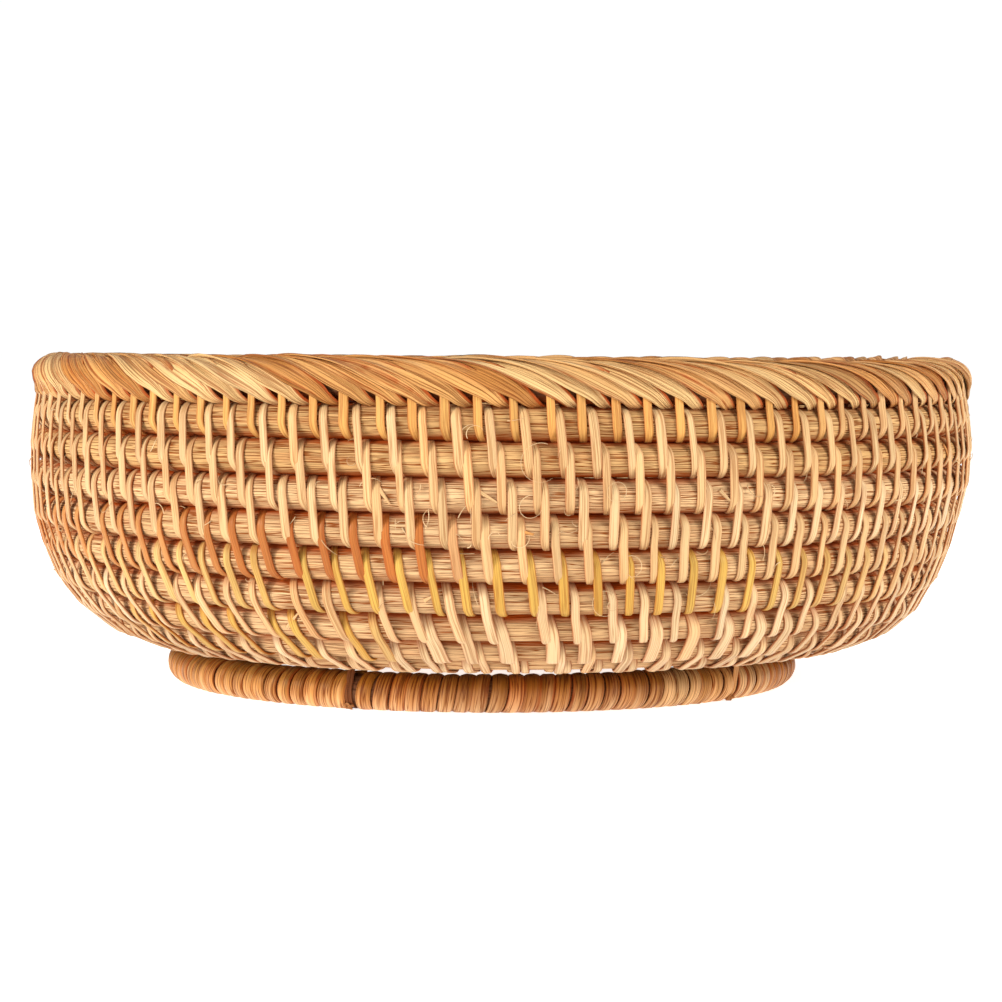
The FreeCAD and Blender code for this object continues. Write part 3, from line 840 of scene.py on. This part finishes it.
def noise(tree, place, scale, detail):
    """A noise texture over a place."""
    node = tree.nodes.new("ShaderNodeTexNoise")
    node.inputs["Scale"].default_value = scale
    node.inputs["Detail"].default_value = detail
    tree.links.new(place, node.inputs["Vector"])
    return node


def rising(tree, value, low, high):
    """0 below low, 1 above high, and even between."""
    node = tree.nodes.new("ShaderNodeMapRange")
    node.inputs["From Min"].default_value = low
    node.inputs["From Max"].default_value = high
    tree.links.new(value, node.inputs["Value"])
    return node.outputs[0]


def weighted(tree, first, share, second, second_share):
    """Sum of two values, each multiplied by its share."""
    return maths(tree, "ADD", maths(tree, "MULTIPLY", first, share),
                 maths(tree, "MULTIPLY", second, second_share))


def cane_fibre_group():
    """Long fibres: a height and a streak mask from the grain of a piece."""
    tree, given, result = new_group(
        "cane_fibre",
        [("Grain", "NodeSocketVector", None), ("Lines per mm", "NodeSocketFloat", 4.0),
         ("Line length mm", "NodeSocketFloat", 12.0), ("Roughness", "NodeSocketFloat", 0.6),
         ("Waviness", "NodeSocketFloat", 0.5)],
        [("Height", "NodeSocketFloat"), ("Streak", "NodeSocketFloat"), ("Pits", "NodeSocketFloat"),
         ("Bark", "NodeSocketFloat")])
    split = tree.nodes.new("ShaderNodeSeparateXYZ")
    tree.links.new(given.outputs["Grain"], split.inputs[0])
    along = maths(tree, "DIVIDE", maths(tree, "MULTIPLY", split.outputs[0], 1 / MM),
                  given.outputs["Line length mm"])
    across = maths(tree, "MULTIPLY", maths(tree, "MULTIPLY", split.outputs[1], 1 / MM),
                   given.outputs["Lines per mm"])
    sway = noise(tree, given.outputs["Grain"], 260.0, 1.0)
    across = maths(tree, "ADD", across, maths(tree, "MULTIPLY", sway.outputs[0], given.outputs["Waviness"]))
    place = tree.nodes.new("ShaderNodeCombineXYZ")
    tree.links.new(along, place.inputs[0])
    tree.links.new(across, place.inputs[1])
    fine = noise(tree, place.outputs[0], 1.0, 3.0)
    tree.links.new(given.outputs["Roughness"], fine.inputs["Roughness"])
    broad = noise(tree, place.outputs[0], 0.35, 2.0)
    thin = noise(tree, place.outputs[0], 0.5, 1.5)
    pits = noise(tree, place.outputs[0], 3.0, 2.0)
    off_line = maths(tree, "ABSOLUTE", maths(tree, "SUBTRACT", thin.outputs[0], 0.5))
    groove = rising(tree, off_line, 0.01, 0.055)
    both = weighted(tree, fine.outputs[0], 0.65, broad.outputs[0], 0.35)
    ridged = maths(tree, "ADD", both, maths(tree, "MULTIPLY", groove, 0.25))
    tree.links.new(ridged, result.inputs["Height"])
    contrast = rising(tree, both, 0.36, 0.50)
    patchy = maths(tree, "ADD", maths(tree, "MULTIPLY", contrast, 0.35), 0.65)
    tree.links.new(maths(tree, "MULTIPLY", patchy, groove), result.inputs["Streak"])
    tree.links.new(maths(tree, "GREATER_THAN", pits.outputs[0], 0.66), result.inputs["Pits"])
    slow = tree.nodes.new("ShaderNodeVectorMath")
    slow.operation = "MULTIPLY"
    slow.inputs[1].default_value = (0.16, 0.42, 1.0)
    tree.links.new(place.outputs[0], slow.inputs[0])
    bark = noise(tree, slow.outputs[0], 1.0, 3.0)
    tree.links.new(rising(tree, bark.outputs[0], 0.62, 0.68), result.inputs["Bark"])
    return tree


def sun_and_age_group():
    """Uneven ageing over the basket: broad patches, and a browner tone where soiling gathers and where
    shade is painted.
    """
    tree, given, result = new_group(
        "age_soiling_and_shade",
        [("Colour", "NodeSocketColor", None), ("Place", "NodeSocketVector", None),
         ("Grime", "NodeSocketFloat", 0.0), ("Patchiness", "NodeSocketFloat", 0.3),
         ("Grime colour", "NodeSocketColor", (0.37, 0.058, 0.005, 1.0))],
        [("Colour", "NodeSocketColor")])
    patches = noise(tree, given.outputs["Place"], 26.0, 3.0)
    share = maths(tree, "MULTIPLY", patches.outputs[0], given.outputs["Patchiness"])
    aged = blended(tree, "MULTIPLY", share, given.outputs["Colour"], (0.80, 0.62, 0.44))
    # the browner tone marks soiling and painted shade alike
    broken = maths(tree, "MULTIPLY", given.outputs["Grime"],
                   maths(tree, "ADD", patches.outputs[0], 0.45), clamp=True)
    soiled_and_shaded = blended(tree, "MIX", broken, aged, given.outputs["Grime colour"])
    tree.links.new(soiled_and_shaded, result.inputs["Colour"])
    return tree


FIBRE = cane_fibre_group()
AGE = sun_and_age_group()


def place_group(tree, group, **values):
    """A group with its inputs set or linked; _ in a name stands for a space."""
    node = tree.nodes.new("ShaderNodeGroup")
    node.node_tree = group
    for name, value in values.items():
        socket = node.inputs[name.replace("_", " ")]
        if isinstance(value, bpy.types.NodeSocket):
            tree.links.new(value, socket)
        else:
            socket.default_value = value
    return node


def cane_material(name, lines, length, streak_colour, streak, patchiness, grime_and_shade_share,
                  rough, bump, coat=0.0, coat_rough=0.4, pits=0.0, bark=0.0, wave=0.5, gloss=0.25):
    """A cane finish: the piece's own tone, its fibres, age, and its soiling and painted shade."""
    material = bpy.data.materials.new(name)
    material.use_nodes = True
    tree = material.node_tree
    shader = tree.nodes["Principled BSDF"]
    grain = tree.nodes.new("ShaderNodeUVMap")
    grain.uv_map = "grain"
    tone = tree.nodes.new("ShaderNodeAttribute")
    tone.attribute_name = "tone"
    grime_and_shade = tree.nodes.new("ShaderNodeAttribute")
    grime_and_shade.attribute_name = "grime_and_shade"
    place = tree.nodes.new("ShaderNodeTexCoord")
    fibre = place_group(tree, FIBRE, Grain=grain.outputs[0], Lines_per_mm=lines, Line_length_mm=length,
                        Waviness=wave)
    dark = maths(tree, "MULTIPLY", maths(tree, "SUBTRACT", 1.0, fibre.outputs["Streak"]), streak)
    if pits:
        dark = maths(tree, "ADD", dark, maths(tree, "MULTIPLY", fibre.outputs["Pits"], pits), clamp=True)
    streaked = blended(tree, "MULTIPLY", dark, tone.outputs["Color"], streak_colour)
    if bark:
        share = maths(tree, "MULTIPLY", fibre.outputs["Bark"], bark)
        streaked = blended(tree, "MIX", share, streaked, BARK)
    held = maths(tree, "MULTIPLY", grime_and_shade.outputs["Fac"], grime_and_shade_share)
    aged = place_group(tree, AGE, Colour=streaked, Place=place.outputs["Object"], Grime=held,
                       Patchiness=patchiness)
    tree.links.new(aged.outputs[0], shader.inputs["Base Color"])
    sheen = maths(tree, "ADD", maths(tree, "MULTIPLY", fibre.outputs["Streak"], -0.14), rough + 0.07)
    tree.links.new(maths(tree, "ADD", sheen, maths(tree, "MULTIPLY", held, 0.2), clamp=True),
                   shader.inputs["Roughness"])
    relief = tree.nodes.new("ShaderNodeBump")
    relief.inputs["Strength"].default_value = 0.9
    relief.inputs["Distance"].default_value = bump * MM
    tree.links.new(fibre.outputs["Height"], relief.inputs["Height"])
    tree.links.new(relief.outputs[0], shader.inputs["Normal"])
    shader.inputs["Coat Weight"].default_value = coat
    shader.inputs["Coat Roughness"].default_value = coat_rough
    shader.inputs["Specular IOR Level"].default_value = gloss
    shader.inputs["Specular Tint"].default_value = (1.0, 0.82, 0.6, 1.0)
    return material


def finishes():
    """Every finish of the basket, by the record's slot."""
    splint = dict(lines=3.4, length=18.0, streak_colour=(0.47, 0.24, 0.10), streak=0.64,
                  patchiness=0.22, grime_and_shade_share=0.74, rough=0.42, bump=0.2, coat=0.05, wave=0.15)
    return {
        "pith_rod": cane_material("pith_rod", 4.0, 9.0, (0.30, 0.11, 0.03), 0.95, 0.22, 1.0, 0.72, 0.55,
                                  pits=0.3, bark=0.35, wave=0.8, gloss=0.1),
        "pale_splint": cane_material("pale_splint", **splint),
        "golden_splint": cane_material("golden_splint", **{**splint, "streak": 0.55}),
        "brown_splint": cane_material("brown_splint", **{**splint, "streak": 0.45}),
        "rim_peel": cane_material("rim_peel", 3.0, 30.0, (0.34, 0.14, 0.045), 0.78, 0.30, 1.0, 0.46, 0.45,
                                  coat=0.04, wave=0.2),
        "foot_peel": cane_material("foot_peel", 2.8, 9.0, (0.36, 0.19, 0.08), 0.95, 0.25, 0.9, 0.42, 0.22,
                                   coat=0.06, wave=0.3),
        "core_rod": cane_material("core_rod", 3.0, 9.0, (0.4, 0.25, 0.15), 0.8, 0.4, 0.8, 0.7, 0.3),
        "dark_tie": cane_material("dark_tie", 4.0, 8.0, (0.4, 0.25, 0.15), 0.7, 0.4, 0.8, 0.6, 0.2),
    }


# ---- floor, light and camera ----
def studio():
    """A plain pale floor that reaches far into the background, with soft light."""
    scene = bpy.context.scene
    scene.view_settings.view_transform = "Standard"
    world = bpy.data.worlds.new("studio")
    scene.world = world
    world.use_nodes = True
    tree = world.node_tree
    back = tree.nodes["Background"]
    back.inputs["Color"].default_value = (1.0, 1.0, 1.0, 1.0)
    path = tree.nodes.new("ShaderNodeLightPath")
    extra = maths(tree, "MULTIPLY", path.outputs["Is Camera Ray"], ROOM_SEEN)
    tree.links.new(maths(tree, "ADD", extra, ROOM_LIGHT), back.inputs["Strength"])
    corners = [(-FLOOR_HALF, -FLOOR_HALF, 0), (FLOOR_HALF, -FLOOR_HALF, 0),
               (FLOOR_HALF, FLOOR_HALF, 0), (-FLOOR_HALF, FLOOR_HALF, 0)]
    floor_mesh = bpy.data.meshes.new("floor")
    floor_mesh.from_pydata(corners, [], [(0, 1, 2, 3)])
    floor = bpy.data.objects.new("floor", floor_mesh)
    scene.collection.objects.link(floor)
    paint = bpy.data.materials.new("floor_paint")
    paint.use_nodes = True
    tree = paint.node_tree
    surface = tree.nodes["Principled BSDF"]
    surface.inputs["Base Color"].default_value = (0.90, 0.90, 0.90, 1)
    surface.inputs["Roughness"].default_value = 0.9
    surface.inputs["Emission Color"].default_value = (1, 1, 1, 1)
    seen = tree.nodes.new("ShaderNodeLightPath")
    extra = maths(tree, "MULTIPLY", seen.outputs["Is Camera Ray"], FLOOR_SEEN)
    tree.links.new(maths(tree, "ADD", extra, FLOOR_GLOW), surface.inputs["Emission Strength"])
    floor_mesh.materials.append(paint)
    for name, place, power, wide in (("key", (-1.25, -0.8, 0.75), 16.7, 0.25),
                                     ("fill", (1.2, -0.7, 0.75), 14.6, 0.6),
                                     ("low", (-1.0, -0.9, 0.08), 10.5, 0.8),
                                     ("bounce", (1.1, -0.85, 0.06), 4.8, 0.8),
                                     ("top", (0.1, 0.5, 1.4), 5.0, 1.0)):
        lamp = bpy.data.lights.new(name, "AREA")
        lamp.energy = power
        lamp.size = wide
        holder = bpy.data.objects.new(name, lamp)
        holder.location = place
        aim = Vector(LIT_POINT) - Vector(place)
        holder.rotation_euler = aim.to_track_quat("-Z", "Y").to_euler()
        scene.collection.objects.link(holder)


def camera():
    """Level with the rim and a little over six bowl radii in front of it."""
    data = bpy.data.cameras.new("camera")
    data.sensor_width = 36.0
    data.lens = CAMERA_LENS
    holder = bpy.data.objects.new("camera", data)
    holder.location = (0.0, -CAMERA_BACK, CAD_BOX[1][2] + CAMERA_OVER_RIM)
    aim = Euler((math.pi / 2 - math.radians(CAMERA_DOWN), 0, 0)).to_matrix()
    spin = Euler((0, 0, math.radians(CAMERA_ROLL))).to_matrix()
    holder.rotation_euler = (aim @ spin).to_euler()
    bpy.context.scene.collection.objects.link(holder)
    bpy.context.scene.camera = holder


# ---- putting the basket together ----
def basket():
    """Every piece of the basket, from the rim inwards and then the foot."""
    finish = finishes()
    rod_piece("foot_rod", "foot_core", 2, DARK_CORE, finish["core_rod"], rough=0.3)
    rows = sorted(n for n in frame["nodes"] if n.startswith("coil_row_"))
    line = [ring_of(n)[1:3] for n in ["rim_core"] + rows + ["base_start"]]
    below_rim = math.atan2(line[1][1] - line[0][1], line[1][0] - line[0][0])
    rod_piece("rim_rod", "rim_core", 1, DARK_CORE, finish["core_rod"],
              beside=[below_rim], press=RIM_ROD_PRESS)
    for number, node in enumerate(rows, 1):
        here = line[number]
        beside = [math.atan2(z - here[1], r - here[0]) for r, z in (line[number - 1], line[number + 1])]
        rod_piece(f"rod_{number:02d}", node, 10 + number, PITH_WARM if number < 3 else PITH,
                  finish["pith_rod"], swell=ROD_SWELL, beside=beside)
    rod_piece("first_turn", "base_start", 40, PITH, finish["pith_rod"], rough=0.6,
              swell=FIRST_TURN_SWELL, beside=[0.0], press=FIRST_TURN_PRESS)
    sewn = [(r, z, rod + ROD_SWELL / 2 * MM) for _, r, z, rod in map(ring_of, rows)]
    rings = [ring_of("rim_core")[1:]] + sewn + [ring_of("base_start")[1:]]
    layers = sorted(n for n in frame["nodes"] if n.startswith("stitches_row_")) + ["stitches_start"]
    slots = {s["node"]: s["material_slot"] for s in frame["record"]["subparts"]}
    for layer, node in enumerate(layers):
        width = layer_width(layer, node)
        lean = LAYER_LEAN[layer] if layer < len(LAYER_LEAN) else INNER_LEAN
        hook = LAYER_HOOK[layer] if layer < len(LAYER_HOOK) else INNER_HOOK
        colours = LAYER_COLOURS.get(layer, PLAIN_RUN)
        splint_layer(node.replace("stitches", "splint"), node, rings[layer], rings[layer + 1], 200 + layer,
                     colours, width, lean, hook, finish[slots[node]])
    rim_cover(finish["rim_peel"])
    foot_winding(finish["foot_peel"])
    foot_lashings(finish["dark_tie"])
    knots(finish["dark_tie"])
    loose_fibres(finish["pale_splint"])
    splint_tails(finish["pale_splint"])


camera()
studio()
basket()
